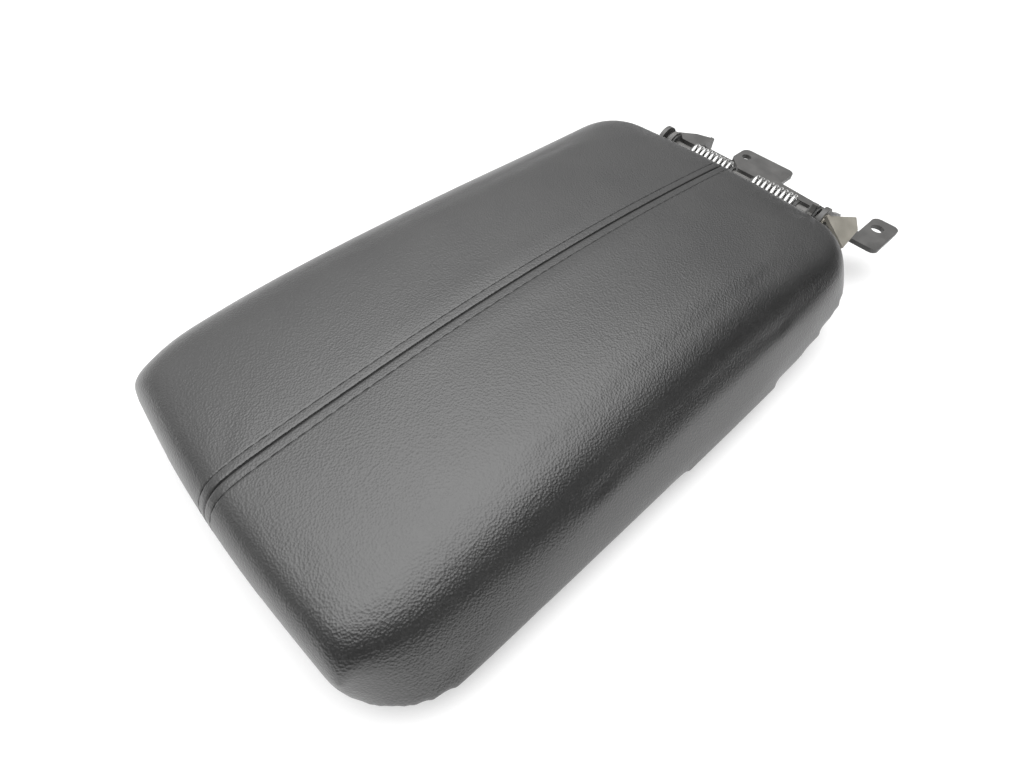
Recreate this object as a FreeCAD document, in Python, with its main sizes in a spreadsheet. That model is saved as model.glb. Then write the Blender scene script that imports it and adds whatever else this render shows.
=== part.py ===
import FreeCAD, Part
import math
import os
import Sketcher
from FreeCAD import Placement, Rotation, Vector

# Centre console armrest: a padded lid on a sprung hinge, modelled in its own frame.
# Modelling axes: x across (0 at the seam), y from the pad's front tip to the hinge,
# z up from the pad's lower edge. At the end every piece is set down on its rim.

doc = FreeCAD.newDocument("armrest")

# Driving dimensions, millimetres and degrees
SIZES = {
    # padded lid
    "pad_length": 300.0,
    "width_front": 191.0,
    "width_rear": 197.0,
    "side_bulge": 0.8,
    "corner_front": 28.6,
    "corner_shoulder": 6.0,
    "corner_rear": 25.5,
    "front_bow": 6.9,
    "pad_height": 42.8,
    "apex_from_front": 165.0,
    "crown_front": 12.8,
    "crown_rear": 7.5,
    "crown_side": 1.8,
    "nose_round": 13.0,
    "rear_round": 2.4,
    "side_round": 37.0,
    "flare_angle": 26.0,
    "flare_front": 51.0,
    "flare_fade": 60.0,
    "tail_length": 74.0,
    "tail_rise": 20.2,
    # layers of the lid
    "skin": 1.3,
    "foam": 6.0,
    "core_wall": 2.5,
    "layer_gap": 0.3,
    "seam_gap": 0.6,
    "hem_width": 16.0,
    "rib_wall": 2.0,
    "rib_pitch": 48.0,
    "rib_lift": 12.0,
    # inner panel
    "liner_wall": 2.5,
    "liner_margin": 11.0,
    "liner_corner": 16.0,
    "liner_tail": 12.0,
    "liner_tail_side": 21.0,
    "rim_depth": 12.0,
    "rim_wall": 2.5,
    "rim_side": 26.0,
    "rim_front": 22.0,
    "rim_length": 196.0,
    "rim_corner": 14.0,
    "bumper_radius": 4.5,
    "bumper_height": 3.0,
    "bumper_side": 19.0,
    "bumper_front": 34.0,
    # screws
    "screw_radius": 1.8,
    "screw_length": 11.0,
    "screw_head_radius": 3.6,
    "screw_head": 2.2,
    "screw_fit": 0.1,
    "boss_radius": 4.5,
    "liner_screw_side": 43.5,
    "liner_screw_front": 56.0,
    "liner_screw_pitch": 68.0,
    # hinge pin, knuckles and springs
    "pin_back": 11.0,
    "pin_height": 24.0,
    "pin_radius": 3.0,
    "pin_fit": 0.05,
    "pin_end": 2.6,
    "bush_wall": 1.6,
    "bush_fit": 0.05,
    "bush_flange": 1.2,
    "bush_lip": 1.3,
    "knuckle_radius": 7.0,
    "coil_radius": 5.4,
    "wire_radius": 1.0,
    "coil_pitch": 2.9,
    "coil_length": 26.8,
    "coil_left_start": -26.8,
    "coil_right_start": 13.8,
    "sleeve_wall": 1.1,
    "clip_radius": 5.0,
    "clip_wall": 1.2,
    # leaf on the lid
    "leaf_wall": 2.5,
    "leaf_side": 55.5,
    "leaf_length": 44.0,
    "leaf_seat": 34.0,
    "leaf_screw_side": 34.0,
    "leaf_screw_pitch": 21.0,
    "arm_left": -42.0,
    "arm_right": 49.5,
    "arm_drop": 3.5,
    "stop_reach": 9.0,
    # bracket on the console
    "steel_wall": 2.5,
    "ear_gap": 3.0,
    "ear_radius": 8.0,
    "plate_top": 25.0,
    "plate_front": 7.5,
    "strip_rear": 14.2,
    "strip_end_rear": 11.5,
    "mid_tab_left": -9.0,
    "mid_tab_right": 24.0,
    "mid_tab_rear": 30.0,
    "mid_hole_radius": 2.6,
    "mid_hole_x": -3.5,
    "mid_hole_back": 22.0,
    "shelf_right": -27.0,
    "shelf_rear": 23.0,
    "shelf_side_rear": 10.0,
    "shelf_top": 25.5,
    "shelf_lip": 13.0,
    "link_front": 11.5,
    "link_rear": 15.5,
    "link_drop": 2.0,
    "tab_top": 11.5,
    "tab_left": 70.0,
    "tab_right": 85.0,
    "tab_front": 14.0,
    "tab_rear": 51.0,
    "tab_hole_radius": 3.6,
    "tab_hole_x": 76.0,
    "tab_hole_back": 41.0,
    "corner_round": 4.0,
    "foot_rear": 30.0,
    "tab_side_front": 21.0,
    "gusset_wall": 2.0,
    "gusset_lean": 53.5,
    "gusset_top": 30.0,
    "gusset_gap": 0.3,
    "gusset_front": 5.0,
    "gusset_rear": 17.5,
    "gusset_depth": 18.6,
    "gusset_step": 4.0,
    # latch
    "latch_back": 30.0,
    "latch_drop": 8.0,
    "latch_side": 11.0,
    "latch_wall": 2.4,
    "latch_pin_radius": 1.5,
    "latch_reach": 23.0,
    "latch_hook": 4.0,
    "latch_barrel": 3.2,
    "latch_spring_length": 6.0,
    "lug_wall": 3.0,
    "latch_gap": 0.8,
}

sheet = doc.addObject("Spreadsheet::Sheet", "dim")
for row_number, (alias, value) in enumerate(SIZES.items(), start=1):
    sheet.set("A%d" % row_number, alias)
    sheet.set("B%d" % row_number, str(value))
    sheet.setAlias("B%d" % row_number, alias)
doc.recompute()

PIN_Y = "(dim.pad_length + dim.pin_back)"
PIN_Z = "dim.pin_height"
LINER_BOTTOM = "(0 - dim.layer_gap - dim.liner_wall)"
ORIGIN = {"x": "YZ_Plane", "z": "XY_Plane"}


def size(text):
    """Value of an expression over the sheet."""
    return float(sheet.evalExpression(str(text)))


def bind(obj, prop, text):
    """Ties a property to an expression over the sheet."""
    obj.setExpression(prop, str(text))


def place(obj, x, y, z):
    """Ties an object's position to three expressions."""
    for axis, text in zip("xyz", (x, y, z)):
        bind(obj, "Placement.Base." + axis, text)


def box(name, low, lengths):
    """Block from its low corner and its three lengths."""
    block = doc.addObject("Part::Box", name)
    for prop, text in zip(("Length", "Width", "Height"), lengths):
        bind(block, prop, text)
    place(block, *low)
    return block


def rod(name, radius, length, start, axis="z"):
    """Cylinder that starts at a point and runs along z or x."""
    cylinder = doc.addObject("Part::Cylinder", name)
    bind(cylinder, "Radius", radius)
    bind(cylinder, "Height", length)
    if axis == "x":
        cylinder.Placement = Placement(Vector(), Rotation(Vector(0, 1, 0), 90))
    place(cylinder, *start)
    return cylinder


def fuse(name, shapes):
    """One solid out of several that meet."""
    union = doc.addObject("Part::MultiFuse", name)
    union.Shapes = shapes
    union.Refine = True
    return union


def cut(name, base, tool):
    """The base with the tool's space taken out."""
    rest = doc.addObject("Part::Cut", name)
    rest.Base = base
    rest.Tool = tool
    return rest


def common(name, base, tool):
    """What two shapes share."""
    shared = doc.addObject("Part::Common", name)
    shared.Base = base
    shared.Tool = tool
    return shared


def group(name, shapes):
    """Separate solids kept under one name."""
    bundle = doc.addObject("Part::Compound", name)
    bundle.Links = shapes
    return bundle


def outline_sketch(body, name, axis, start, points, holes):
    """Closed polygon with round holes, every corner tied to the sheet."""
    sketch = body.newObject("Sketcher::SketchObject", name)
    plane = [p for p in body.Origin.OriginFeatures if p.Role == ORIGIN[axis]][0]
    sketch.AttachmentSupport = (plane, "")
    sketch.MapMode = "FlatFace"
    bind(sketch, "AttachmentOffset.Base.z", start)
    corners = [Vector(size(u), size(v), 0) for u, v in points]
    count = len(corners)
    for k in range(count):
        sketch.addGeometry(Part.LineSegment(corners[k], corners[(k + 1) % count]))
    for k in range(count):
        sketch.addConstraint(Sketcher.Constraint("Coincident", k, 2, (k + 1) % count, 1))
    for u, v, radius in holes:
        centre = Vector(size(u), size(v), 0)
        sketch.addGeometry(Part.Circle(centre, Vector(0, 0, 1), size(radius)))
    ties = [(k, 1, u, v) for k, (u, v) in enumerate(points)]
    ties += [(count + k, 3, hole[0], hole[1]) for k, hole in enumerate(holes)]
    for geometry, point, u, v in ties:
        for kind, text in (("DistanceX", u), ("DistanceY", v)):
            tie = sketch.addConstraint(Sketcher.Constraint(kind, -1, 1, geometry, point, size(text)))
            bind(sketch, "Constraints[%d]" % tie, text)
    for k, hole in enumerate(holes):
        tie = sketch.addConstraint(Sketcher.Constraint("Radius", count + k, size(hole[2])))
        bind(sketch, "Constraints[%d]" % tie, hole[2])
    return sketch


def plate(name, axis, start, thickness, points, holes=(), rounds=()):
    """Sheet-metal or moulded plate: outline, thickness, holes and rounded corners."""
    body = doc.addObject("PartDesign::Body", name)
    sketch = outline_sketch(body, name + "_outline", axis, start, points, holes)
    pad = body.newObject("PartDesign::Pad", name + "_pad")
    pad.Profile = sketch
    bind(pad, "Length", thickness)
    doc.recompute()
    for number, (radius, corners) in enumerate(rounds):
        wanted = [(size(points[k][0]), size(points[k][1])) for k in corners]
        base = body.Tip
        fillet = body.newObject("PartDesign::Fillet", "%s_round_%d" % (name, number))
        fillet.Base = (base, edges_through(base.Shape, axis, wanted))
        bind(fillet, "Radius", radius)
        doc.recompute()
    return body


def edges_through(shape, axis, wanted):
    """Names of the straight edges along an axis that pass through the wanted corners."""
    names = []
    for number, edge in enumerate(shape.Edges, start=1):
        first, last = edge.Vertexes[0].Point, edge.Vertexes[-1].Point
        span = last - first
        flat = (first.y, first.z) if axis == "x" else (first.x, first.y)
        along = abs(span.x) if axis == "x" else abs(span.z)
        if along < 0.99 * span.Length or span.Length < 1e-6:
            continue
        if any(math.hypot(flat[0] - u, flat[1] - v) < 1e-4 for u, v in wanted):
            names.append("Edge%d" % number)
    return names


# Padded form: one family of smooth shapes, each a parallel layer of the next

ROW_STEPS = 6
MID_ROWS = 6
TOP_STEPS = 3
ROUND_STEPS = 4
WALL_STEPS = 2
LEAST_ROUND = 2.0

length = size("dim.pad_length")
tail_start = length - size("dim.tail_length")
tail_radius = (size("dim.tail_length") ** 2 + size("dim.tail_rise") ** 2) / (2 * size("dim.tail_rise"))


def tail(y):
    """Height of the pad's lower edge, which sweeps up towards the hinge."""
    run = max(0.0, y - tail_start)
    return tail_radius - math.sqrt(tail_radius ** 2 - run ** 2)


def tuck(distance, radius):
    """How far a quarter round of this radius stands back at a distance from its end."""
    if distance >= radius:
        return 0.0
    return radius - math.sqrt(max(0.0, radius ** 2 - (radius - distance) ** 2))


def flare_at(y):
    """Lean of the side wall, which opens out towards the front."""
    fade = max(0.0, 1 - y / size("dim.flare_fade")) ** 2
    side, front = size("dim.flare_angle"), size("dim.flare_front")
    return math.radians(side + (front - side) * fade)


def row_places(inset):
    """Stations along the pad, closer together round the front and rear corners."""
    front = size("dim.corner_front") - inset
    rear = size("dim.corner_rear") - inset
    turns = [1 - math.cos(math.pi / 2 * k / ROW_STEPS) for k in range(ROW_STEPS + 1)]
    head = [inset + front * turn for turn in turns]
    foot = [length - inset - rear * turn for turn in reversed(turns)]
    gap = (foot[0] - head[-1]) / MID_ROWS
    return head + [head[-1] + gap * k for k in range(1, MID_ROWS)] + foot


def section(y, inset, lift):
    """Cross-section at a station: points from the left lower edge over the top to the right one."""
    from_front = y - inset
    from_rear = length - inset - y
    flare = flare_at(y)
    width = size("dim.width_front") + (size("dim.width_rear") - size("dim.width_front")) * y / length
    half = width / 2 + size("dim.side_bulge") * math.sin(math.pi * y / length) - inset / math.cos(flare)
    half -= tuck(from_rear, size("dim.corner_rear") - inset)
    shoulder = half - tuck(from_front, max(size("dim.corner_shoulder") - inset, LEAST_ROUND))
    half -= tuck(from_front, size("dim.corner_front") - inset)
    apex = size("dim.apex_from_front")
    if y < apex:
        crown = size("dim.crown_front") * ((apex - y) / apex) ** 2
    else:
        crown = size("dim.crown_rear") * ((y - apex) / (length - apex)) ** 2
    top = size("dim.pad_height") - crown - inset
    top -= tuck(from_front, max(size("dim.nose_round") - inset, LEAST_ROUND))
    top -= tuck(from_rear, max(size("dim.rear_round") - inset, LEAST_ROUND))
    side_crown = size("dim.crown_side")
    base = tail(y) + lift
    rise = top - side_crown - base
    foot = half - base * math.tan(flare)
    fullness = (top - side_crown - tail(y)) / (size("dim.pad_height") - inset)
    radius = (size("dim.side_round") - inset) * fullness
    lean = (base + rise) * math.tan(flare)
    flat = shoulder - lean - radius * math.tan((math.pi / 2 - flare) / 2)
    points = []
    for k in range(TOP_STEPS + 1):
        share = k / TOP_STEPS
        points.append((flat * share, top - side_crown * share ** 2))
    for k in range(1, ROUND_STEPS + 1):
        angle = math.pi / 2 + (flare - math.pi / 2) * k / ROUND_STEPS
        points.append((flat + radius * math.cos(angle), base + rise - radius + radius * math.sin(angle)))
    wall_x, wall_z = points[-1]
    for k in range(1, WALL_STEPS + 1):
        share = k / WALL_STEPS
        points.append((wall_x + (foot - wall_x) * share, wall_z + (base - wall_z) * share))
    whole = [(-x, z) for x, z in reversed(points[1:])] + points
    bow = size("dim.front_bow") * max(0.0, 1 - y / apex)

    def bent(x):
        return y + bow * (2 * x / size("dim.width_front")) ** 2

    steps = len(points) - 1
    upper = [Vector(x, bent(x), z) for x, z in whole]
    floor = [foot * k / steps for k in range(-steps, steps + 1)]
    lower = [Vector(x, bent(x), base) for x in floor]
    return upper, lower


def smooth_face(poles, degree):
    """Face of a clamped B-spline surface over a grid of poles, cubic across."""
    def knots(count, order):
        inner = count - order - 1
        return list(range(inner + 2)), [order + 1] + [1] * inner + [order + 1]
    u_knots, u_counts = knots(len(poles), degree)
    v_knots, v_counts = knots(len(poles[0]), 3)
    surface = Part.BSplineSurface()
    surface.buildFromPolesMultsKnots(poles, u_counts, v_counts, u_knots, v_knots, False, False, degree, 3)
    return surface.toShape()


def pad_form(name, inset_text, lift_text):
    """Closed padded form, a given depth inside the cover's outside and lifted off the lower edge."""
    inset, lift = size(inset_text), size(lift_text)
    rows = [section(y, inset, lift) for y in row_places(inset)]
    upper = [row[0] for row in rows]
    lower = [row[1] for row in rows]
    faces = [smooth_face(upper, 3), smooth_face(lower, 3)]
    faces += [smooth_face([upper[end], lower[end]], 1) for end in (0, -1)]
    shell = Part.makeCompound(faces)
    shell.sewShape()
    solid = Part.Solid(shell.Shells[0])
    if solid.Volume < 0:
        solid.reverse()
    form = doc.addObject("Part::Feature", name)
    form.Shape = solid
    return form


SKIN_IN = "dim.skin"
FOAM_OUT = "dim.skin + dim.layer_gap"
FOAM_IN = FOAM_OUT + " + dim.foam"
CORE_OUT = FOAM_IN + " + dim.layer_gap"
CORE_IN = CORE_OUT + " + dim.core_wall"
OPEN_BELOW = "0 - dim.hem_width / 4"

# Cover: two leather panels that meet at the seam, with a hem turned in below

cover_outside = pad_form("cover_outside", "0", "0")
cover_inside = pad_form("cover_inside", SKIN_IN, SKIN_IN)
hem_opening = pad_form("hem_opening", "dim.hem_width", OPEN_BELOW)
cover_hollow = fuse("cover_hollow", [cover_inside, hem_opening])
cover_skin = cut("cover_skin", cover_outside, cover_hollow)
HALF = "dim.width_rear"
SEAM = "dim.seam_gap / 2"
half_block = ("dim.pad_length * 2", "dim.pad_height * 3")
half_low = ("0 - dim.pad_length / 2", "0 - dim.pad_height")
right_half = box("right_half", (SEAM,) + half_low, (HALF,) + half_block)
left_half = box("left_half", ("0 - dim.seam_gap / 2 - " + HALF,) + half_low, (HALF,) + half_block)
cover_right = common("cover_right_panel", cover_skin, right_half)
cover_left = common("cover_left_panel", cover_skin, left_half)

# Foam: an even layer between cover and core

foam_pad = cut("foam_layer", pad_form("foam_outside", FOAM_OUT, FOAM_OUT),
               pad_form("foam_inside", FOAM_IN, OPEN_BELOW))

# Core: moulded shell with a grid of ribs and screw bosses

core_shell = cut("core_shell", pad_form("core_outside", CORE_OUT, FOAM_OUT),
                 pad_form("core_inside", CORE_IN, OPEN_BELOW))
RIB_FORM = CORE_OUT + " + dim.core_wall / 2"
rib_space = pad_form("rib_space", RIB_FORM, "dim.rib_lift")
boss_space = pad_form("boss_space", RIB_FORM, OPEN_BELOW)

ribs = []
LONG_ROWS = 3
CROSS_ROWS = 5
for k in range(LONG_ROWS):
    x = "dim.rib_pitch * %d - dim.rib_wall / 2" % (k - 1)
    ribs.append(box("long_rib_%d" % k, (x, "0", "0"),
                    ("dim.rib_wall", "dim.pad_length", "dim.pad_height")))
for k in range(CROSS_ROWS):
    y = "dim.rib_pitch * %d - dim.rib_wall / 2" % (k + 1)
    ribs.append(box("cross_rib_%d" % k, ("0 - dim.width_rear / 2", y, "0"),
                    ("dim.width_rear", "dim.rib_wall", "dim.pad_height")))
rib_grid = common("rib_grid", fuse("rib_bars", ribs), rib_space)

LINER_SCREW_ROWS = 3
LINER_SCREW_X = "(dim.width_front / 2 - dim.liner_screw_side)"
liner_screw_places = []
for k in range(LINER_SCREW_ROWS):
    for side in ("0 - " + LINER_SCREW_X, LINER_SCREW_X):
        liner_screw_places.append((side, "dim.liner_screw_front + dim.liner_screw_pitch * %d" % k))

# The leaf lies on a flat tilted seat under the tail; the seat touches the tail's curve at one point
SEAT_Y = "(dim.pad_length - dim.leaf_seat)"
seat_y = size(SEAT_Y)
seat_run = seat_y - tail_start
seat_angle = math.degrees(math.asin(seat_run / tail_radius))
seat_z = tail(seat_y)
SEAT_DROP = "(0 - dim.layer_gap)"


def on_seat(obj, x, along, below):
    """Places an object in the tilted seat's own axes: across, up the slope, and off the seat."""
    tilt = Rotation(Vector(1, 0, 0), seat_angle)
    offset = tilt.multVec(Vector(size(x), size(along), size(below)))
    obj.Placement = Placement(Vector(0, seat_y, seat_z) + offset, tilt)
    return obj


def seat_rod(name, radius, length_text, start):
    """Cylinder square to the tilted seat."""
    cylinder = doc.addObject("Part::Cylinder", name)
    bind(cylinder, "Radius", radius)
    bind(cylinder, "Height", length_text)
    return on_seat(cylinder, *start)


leaf_screw_places = []
for along in ("0 - dim.leaf_screw_pitch / 2", "dim.leaf_screw_pitch / 2"):
    for side in ("0 - dim.leaf_screw_side", "dim.leaf_screw_side"):
        leaf_screw_places.append((side, along))

bosses = []
pilots = []
PILOT = "dim.screw_radius + dim.screw_fit"
PILOT_START = "0 - dim.liner_wall"
PILOT_DEPTH = "dim.screw_length + dim.liner_wall"
for k, (x, y) in enumerate(liner_screw_places):
    bosses.append(rod("liner_boss_%d" % k, "dim.boss_radius", "dim.pad_height", (x, y, "0")))
    pilots.append(rod("liner_pilot_%d" % k, PILOT, PILOT_DEPTH, (x, y, PILOT_START)))
for k, (x, along) in enumerate(leaf_screw_places):
    bosses.append(seat_rod("leaf_boss_%d" % k, "dim.boss_radius", "dim.pad_height", (x, along, "0")))
    pilots.append(seat_rod("leaf_pilot_%d" % k, PILOT, PILOT_DEPTH, (x, along, PILOT_START)))

boss_columns = common("boss_columns", fuse("boss_rods", bosses), boss_space)
core_whole = fuse("core_whole", [core_shell, rib_grid, boss_columns])
lid_core = cut("core_drilled", core_whole, fuse("core_pilots", pilots))


def screw(name):
    """Pan-head screw standing on its head's underside: shank up, head down."""
    head = rod(name + "_head", "dim.screw_head_radius", "dim.screw_head", ("0", "0", "0 - dim.screw_head"))
    shank = rod(name + "_shank", "dim.screw_radius", "dim.screw_length", ("0", "0", "0"))
    return fuse(name, [head, shank])


liner_screws = []
for k, (x, y) in enumerate(liner_screw_places):
    one = screw("liner_screw_%d" % k)
    place(one, x, y, LINER_BOTTOM)
    liner_screws.append(one)
leaf_screws = []
for k, (x, along) in enumerate(leaf_screw_places):
    one = screw("leaf_screw_%d" % k)
    leaf_screws.append(on_seat(one, x, along, SEAT_DROP + " - dim.leaf_wall"))

# Liner: flat inner panel, two wings that follow the tail's sweep, and a rim below

TAIL_R = "((dim.tail_length ^ 2 + dim.tail_rise ^ 2) / (2 * dim.tail_rise))"
TAIL_Y = "(dim.pad_length - dim.tail_length)"
LINER_X = "(dim.width_front / 2 - dim.liner_margin)"
LINER_REAR_X = "(dim.width_rear / 2 - dim.liner_tail_side)"
LINER_REAR_Y = "(dim.pad_length - dim.liner_tail)"
across = ("0 - dim.width_rear / 2", TAIL_Y, TAIL_R)
wing_outer = rod("wing_outer", TAIL_R + " + dim.layer_gap + dim.liner_wall", "dim.width_rear", across, "x")
wing_inner = rod("wing_inner", TAIL_R + " + dim.layer_gap", "dim.width_rear", across, "x")
wing_block = box("wing_block", ("0 - dim.width_rear / 2", TAIL_Y, "0 - dim.rim_depth"),
                 ("dim.width_rear", "dim.tail_length", "dim.rim_depth + dim.pad_height"))
wings = common("wings", cut("wing_ring", wing_outer, wing_inner), wing_block)
panel = box("panel", ("0 - dim.width_rear / 2", "0", LINER_BOTTOM),
            ("dim.width_rear", TAIL_Y, "dim.liner_wall"))
liner_plan = plate("liner_plan", "z", "0 - dim.rim_depth", "dim.rim_depth + dim.pad_height", [
    ("0 - " + LINER_X, "dim.liner_margin"),
    (LINER_X, "dim.liner_margin"),
    (LINER_REAR_X, LINER_REAR_Y),
    ("0 - " + LINER_REAR_X, LINER_REAR_Y),
], rounds=[("dim.liner_corner", (0, 1, 2, 3))])
liner_sheet = common("liner_sheet", fuse("liner_faces", [panel, wings]), liner_plan)

RIM_HEIGHT = "dim.rim_depth - dim.layer_gap - dim.liner_wall / 2"


def rim_block(name, inward):
    """Rounded block inside the rim's outside by a given depth."""
    x = "(dim.width_front / 2 - dim.rim_side - %s)" % inward
    front = "dim.rim_front + " + inward
    rear = "dim.rim_front + dim.rim_length - " + inward
    corners = [("0 - " + x, front), (x, front), (x, rear), ("0 - " + x, rear)]
    return plate(name, "z", "0 - dim.rim_depth", RIM_HEIGHT, corners,
                 rounds=[("dim.rim_corner - " + inward, (0, 1, 2, 3))])


rim = cut("rim", rim_block("rim_outside", "0"), rim_block("rim_inside", "dim.rim_wall"))
LATCH_Z = "(0 - dim.latch_drop)"
LUG_X = "dim.latch_side + dim.latch_gap"
LUG_LOW = "0 - dim.latch_drop - dim.latch_barrel"
LUG_HEIGHT = "dim.latch_drop + dim.latch_barrel - dim.layer_gap - dim.liner_wall / 2"
lug_shape = ("dim.lug_wall", "dim.latch_barrel * 2", LUG_HEIGHT)
lug_y = "dim.latch_back - dim.latch_barrel"
lugs = [box("lug_right", (LUG_X, lug_y, LUG_LOW), lug_shape),
        box("lug_left", ("0 - dim.latch_side - dim.latch_gap - dim.lug_wall", lug_y, LUG_LOW), lug_shape)]
liner_solid = fuse("liner_solid", [liner_sheet, rim] + lugs)

liner_cuts = [
    box("leaf_window", ("0 - dim.leaf_side - dim.latch_gap",
                        SEAT_Y + " - dim.leaf_length / 2 - dim.latch_gap", "0 - dim.rim_depth"),
        ("2 * (dim.leaf_side + dim.latch_gap)", "dim.pad_length", "dim.rim_depth + dim.pad_height")),
    box("latch_notch", ("0 - dim.latch_side - dim.latch_gap", "dim.rim_front - dim.rim_wall",
                        "0 - 2 * dim.rim_depth"),
        ("2 * (dim.latch_side + dim.latch_gap)", "3 * dim.rim_wall",
         "2 * dim.rim_depth - dim.layer_gap - dim.liner_wall")),
    rod("lug_bore", "dim.latch_pin_radius + dim.pin_fit", "2 * dim.width_front",
        ("0 - dim.width_front", "dim.latch_back", LATCH_Z), "x"),
]
for k, (x, y) in enumerate(liner_screw_places):
    liner_cuts.append(rod("liner_hole_%d" % k, PILOT, "dim.rim_depth", (x, y, "0 - dim.rim_depth / 2")))
BUMPER_RIGHT = "(dim.width_front / 2 - dim.bumper_side)"
BUMPER_X = {"left": "0 - " + BUMPER_RIGHT, "right": BUMPER_RIGHT}
for side, x in BUMPER_X.items():
    liner_cuts.append(rod("bumper_hole_" + side, "dim.screw_radius + dim.screw_fit", "dim.rim_depth",
                          (x, "dim.bumper_front", "0 - dim.rim_depth / 2")))
lid_liner = cut("liner_drilled", liner_solid, fuse("liner_openings", liner_cuts))

# Bumpers: rubber buttons whose stems fill their holes in the liner

bumpers = {}
for side, x in BUMPER_X.items():
    button = rod("bumper_button_" + side, "dim.bumper_radius", "dim.bumper_height",
                 (x, "dim.bumper_front", "0 - dim.layer_gap - dim.liner_wall - dim.bumper_height"))
    stem = rod("bumper_stem_" + side, "dim.screw_radius", "dim.bumper_height + dim.liner_wall",
               (x, "dim.bumper_front", "0 - dim.layer_gap - dim.liner_wall - dim.bumper_height"))
    bumpers[side] = fuse("bumper_shape_" + side, [button, stem])

# Latch: a finger paddle that turns on a pin across the rim's front, with a hook ridge below

PADDLE_TOP = "0 - dim.latch_drop + dim.latch_wall / 2"
PADDLE_LOW = "0 - dim.latch_drop - dim.latch_wall / 2"
HOOK_LOW = "0 - dim.latch_drop - dim.latch_barrel"
TIP_Y = "(dim.latch_back - dim.latch_reach)"
paddle = plate("paddle", "x", "0 - dim.latch_side", "2 * dim.latch_side", [
    (TIP_Y, PADDLE_LOW),
    (TIP_Y + " + dim.latch_hook", HOOK_LOW),
    (TIP_Y + " + 2 * dim.latch_hook", HOOK_LOW),
    (TIP_Y + " + 2 * dim.latch_hook", PADDLE_LOW),
    ("dim.latch_back", PADDLE_LOW),
    ("dim.latch_back", PADDLE_TOP),
    (TIP_Y, PADDLE_TOP),
])
barrel = rod("barrel", "dim.latch_barrel", "2 * dim.latch_side",
             ("0 - dim.latch_side", "dim.latch_back", LATCH_Z), "x")
latch_bore = rod("latch_bore", "dim.latch_pin_radius + dim.pin_fit", "4 * dim.latch_side",
                 ("0 - 2 * dim.latch_side", "dim.latch_back", LATCH_Z), "x")
latch_lever = cut("latch_shape", fuse("latch_solid", [paddle, barrel]), latch_bore)
PIN_LEFT = "0 - dim.latch_side - dim.latch_gap - dim.lug_wall - dim.latch_gap"
latch_pin = rod("latch_pin_rod", "dim.latch_pin_radius",
                "2 * (dim.latch_side + dim.lug_wall + 2 * dim.latch_gap) + dim.latch_spring_length",
                (PIN_LEFT, "dim.latch_back", LATCH_Z), "x")
SPRING_X = "dim.latch_side + dim.latch_gap + dim.lug_wall + dim.pin_fit"


def tube(name, inner, outer, length_text, start):
    """Round tube along x."""
    outside = rod(name + "_outside", outer, length_text, start, "x")
    bore = rod(name + "_bore", inner, length_text, start, "x")
    return cut(name + "_tube", outside, bore)


latch_spring = tube("latch_spring", "dim.latch_pin_radius + dim.pin_fit", "dim.latch_barrel",
                    "dim.latch_spring_length", (SPRING_X, "dim.latch_back", LATCH_Z))

# Hinge leaf: a steel plate screwed under the tail, with two arms that carry the knuckles


def seat_point(along, below):
    """Point of the tilted seat's own axes as y and z texts."""
    tilt = math.radians(seat_angle)
    along, below = size(along), size(below)
    y = seat_y + along * math.cos(tilt) - below * math.sin(tilt)
    z = seat_z + along * math.sin(tilt) + below * math.cos(tilt)
    return (str(y), str(z))


def from_pin(back, up):
    """Point measured from the hinge pin as y and z texts."""
    return ("%s + %s" % (PIN_Y, back), "%s + %s" % (PIN_Z, up))


leaf_plate = doc.addObject("Part::Box", "leaf_plate")
bind(leaf_plate, "Length", "2 * dim.leaf_side")
bind(leaf_plate, "Width", "dim.leaf_length")
bind(leaf_plate, "Height", "dim.leaf_wall")
on_seat(leaf_plate, "0 - dim.leaf_side", "0 - dim.leaf_length / 2", SEAT_DROP + " - dim.leaf_wall")
MID_PLATE = SEAT_DROP + " - dim.leaf_wall / 2"
ARM_LOW = SEAT_DROP + " - dim.leaf_wall - dim.arm_drop"
ARM_REAR = "dim.leaf_length / 2"
ARM_FRONT = "dim.screw_head_radius - dim.leaf_length / 2"
arm_outline = [
    seat_point(ARM_FRONT, MID_PLATE),
    seat_point(ARM_REAR, MID_PLATE),
    from_pin("(0 - dim.knuckle_radius)", "(0 - dim.knuckle_radius / 2)"),
    from_pin("0", "0"),
    from_pin("0", "(dim.layer_gap - dim.knuckle_radius)"),
    seat_point(ARM_REAR, ARM_LOW),
    seat_point(ARM_FRONT, ARM_LOW),
]
STOP_Y = PIN_Y + " - dim.plate_top + dim.pin_height"
stop_lug = plate("stop_lug", "x", "dim.arm_right", "dim.leaf_wall", [
    (STOP_Y + " - dim.layer_gap", PIN_Z),
    (STOP_Y + " - dim.layer_gap", PIN_Z + " + dim.stop_reach"),
    (STOP_Y + " - dim.leaf_wall", PIN_Z + " + dim.stop_reach"),
    (PIN_Y + " - dim.knuckle_radius + dim.layer_gap", PIN_Z),
])
leaf_pieces = [leaf_plate, stop_lug]
leaf_bores = []
bushes = {}
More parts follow.
